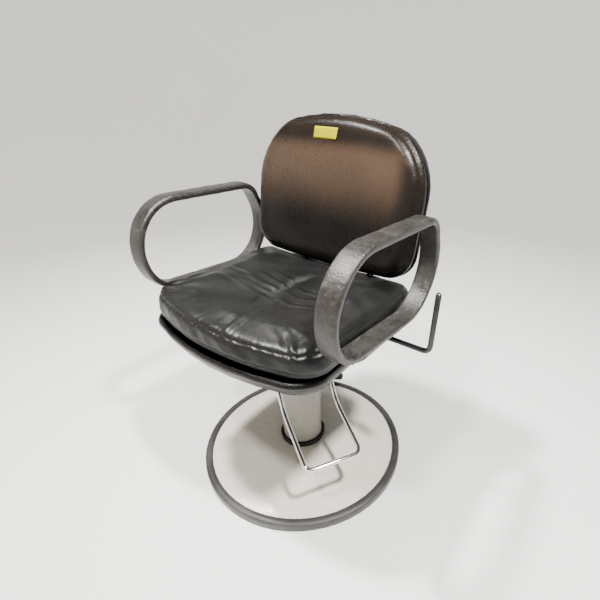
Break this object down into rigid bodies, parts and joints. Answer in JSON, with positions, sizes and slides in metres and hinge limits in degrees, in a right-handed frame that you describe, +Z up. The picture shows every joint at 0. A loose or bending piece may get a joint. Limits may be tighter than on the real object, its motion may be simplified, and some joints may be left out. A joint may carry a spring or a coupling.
{
  "type": "salon styling chair",
  "caption": "Salon styling chair with loop arms, black padded seat and back, a turning lift column on a round base, a wire footrest and a hand lever.",
  "frame": {"origin": "on the floor under the column, at the centre of the round base", "axes": "+Z up along the column, -Y the way the sitter faces, +X to the right of someone standing in front of the chair and looking at it"},
  "size_m": [0.6425, 0.61, 0.8908],
  "materials": {
    "ivory_paint": "gloss",
    "grey_bumper": "matte",
    "black_moulding": "satin",
    "beige_paint": "satin",
    "chrome": "polished",
    "black_steel": "satin",
    "grey_steel": "satin",
    "zinc": "satin",
    "black_leather": "semi-gloss",
    "grey_urethane": "worn satin",
    "black_rubber": "matte",
    "plywood": "raw"
  },
  "bodies": {
    "base": {"base_plate": "ivory_paint", "base_trim": "grey_bumper", "base_collar": "black_moulding", "pump_foot": "grey_steel", "pump_cylinder": "grey_steel", "pedal_housing": "black_moulding", "pedal_pin": "zinc"},
    "lift": {"column_cover": "beige_paint", "cover_screw": "zinc", "pump_ram": "chrome", "column_head": "grey_steel", "footrest_bar": "chrome", "footrest_clamp_left": "grey_steel", "footrest_clamp_right": "grey_steel"},
    "seat": {"seat_hub": "grey_steel", "seat_frame": "grey_steel", "hub_bolt_1": "zinc", "hub_bolt_2": "zinc", "hub_bolt_3": "zinc", "hub_bolt_4": "zinc", "arm_carrier": "grey_steel", "pan_rest_front": "grey_steel", "pan_rest_rear": "grey_steel", "seat_pan": "black_moulding", "seat_board": "plywood", "seat_spacer_1": "plywood", "seat_spacer_2": "plywood", "seat_spacer_3": "plywood", "seat_spacer_4": "plywood", "seat_cushion": "black_leather", "arm_left": "grey_urethane", "arm_right": "grey_urethane", "arm_bracket_left": "black_steel", "arm_bracket_right": "black_steel", "arm_bolt_left_1": "zinc", "arm_bolt_left_2": "zinc", "arm_bolt_right_1": "zinc", "arm_bolt_right_2": "zinc", "frame_rail_left": "grey_steel", "frame_rail_right": "grey_steel", "recline_bracket_left": "grey_steel", "recline_bracket_right": "grey_steel", "pivot_shaft": "zinc", "lever_bush": "grey_steel"},
    "back": {"back_cushion": "black_leather", "back_shell": "black_moulding", "back_mount_plate": "grey_steel", "back_screw_1": "zinc", "back_screw_2": "zinc", "back_screw_3": "zinc", "back_screw_4": "zinc", "back_upright_left": "grey_steel", "back_upright_right": "grey_steel"},
    "recline_lever": {"lever_rod": "black_steel", "lever_tip": "zinc"},
    "pump_pedal": {"pedal_arm": "grey_steel", "pedal_pad": "black_rubber"}
  },
  "joints": [
    {"name": "lift_slide", "type": "slide", "parent": "base", "child": "lift", "axis": [0, 0, 1], "range_m": [0, 0.14]},
    {"name": "seat_swivel", "type": "hinge", "parent": "lift", "child": "seat", "pos_m": [0, 0, 0.39], "axis": [0, 0, 1], "continuous": true},
    {"name": "back_recline", "type": "hinge", "parent": "seat", "child": "back", "pos_m": [0, 0.188, 0.47], "axis": [-1, 0, 0], "range_deg": [0, 30]},
    {"name": "recline_lever_turn", "type": "hinge", "parent": "seat", "child": "recline_lever", "pos_m": [0, 0.1, 0.439], "axis": [-1, 0, 0], "range_deg": [0, 15], "stiffness_Nm_per_rad": 1.2, "springref_deg": -14.32},
    {"name": "pump_pedal_press", "type": "hinge", "parent": "base", "child": "pump_pedal", "pos_m": [-0.046, 0.07967, 0.075], "axis": [-0.866, -0.5, 0], "range_deg": [0, 8], "stiffness_Nm_per_rad": 12, "springref_deg": -17.19}
  ]
}
